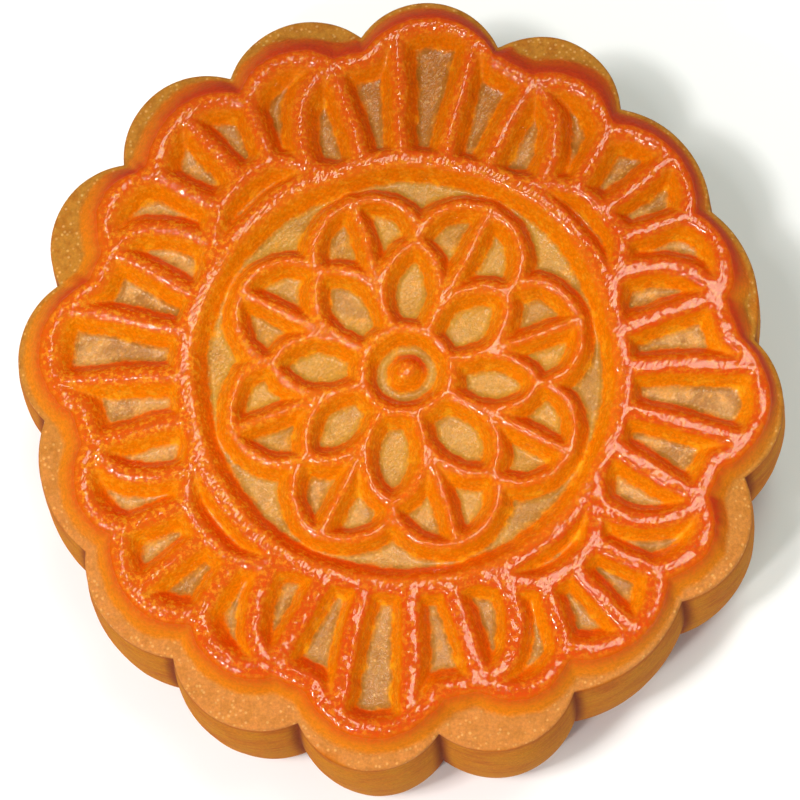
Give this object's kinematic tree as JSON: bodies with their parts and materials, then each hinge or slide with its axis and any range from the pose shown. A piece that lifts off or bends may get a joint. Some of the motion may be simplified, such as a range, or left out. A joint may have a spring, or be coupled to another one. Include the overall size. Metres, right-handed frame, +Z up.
{
  "type": "mooncake",
  "caption": "Round baked mooncake with a scalloped side, a narrow ledge and a raised stamp of petals round a lotus flower.",
  "frame": {"origin": "centre of the underside, at the middle of the cake's bounding box", "axes": "+Z up out of the stamped top; +X and +Y along two of the stamp's four main axes"},
  "size_m": [0.0798, 0.0816, 0.032],
  "materials": {
    "golden_crust": "thin baked pastry crust, egg-washed and glossy on the ridges, duller and paler on the ledge and in the pockets"
  },
  "bodies": {
    "root": {"mooncake": "golden_crust"}
  },
  "joints": []
}
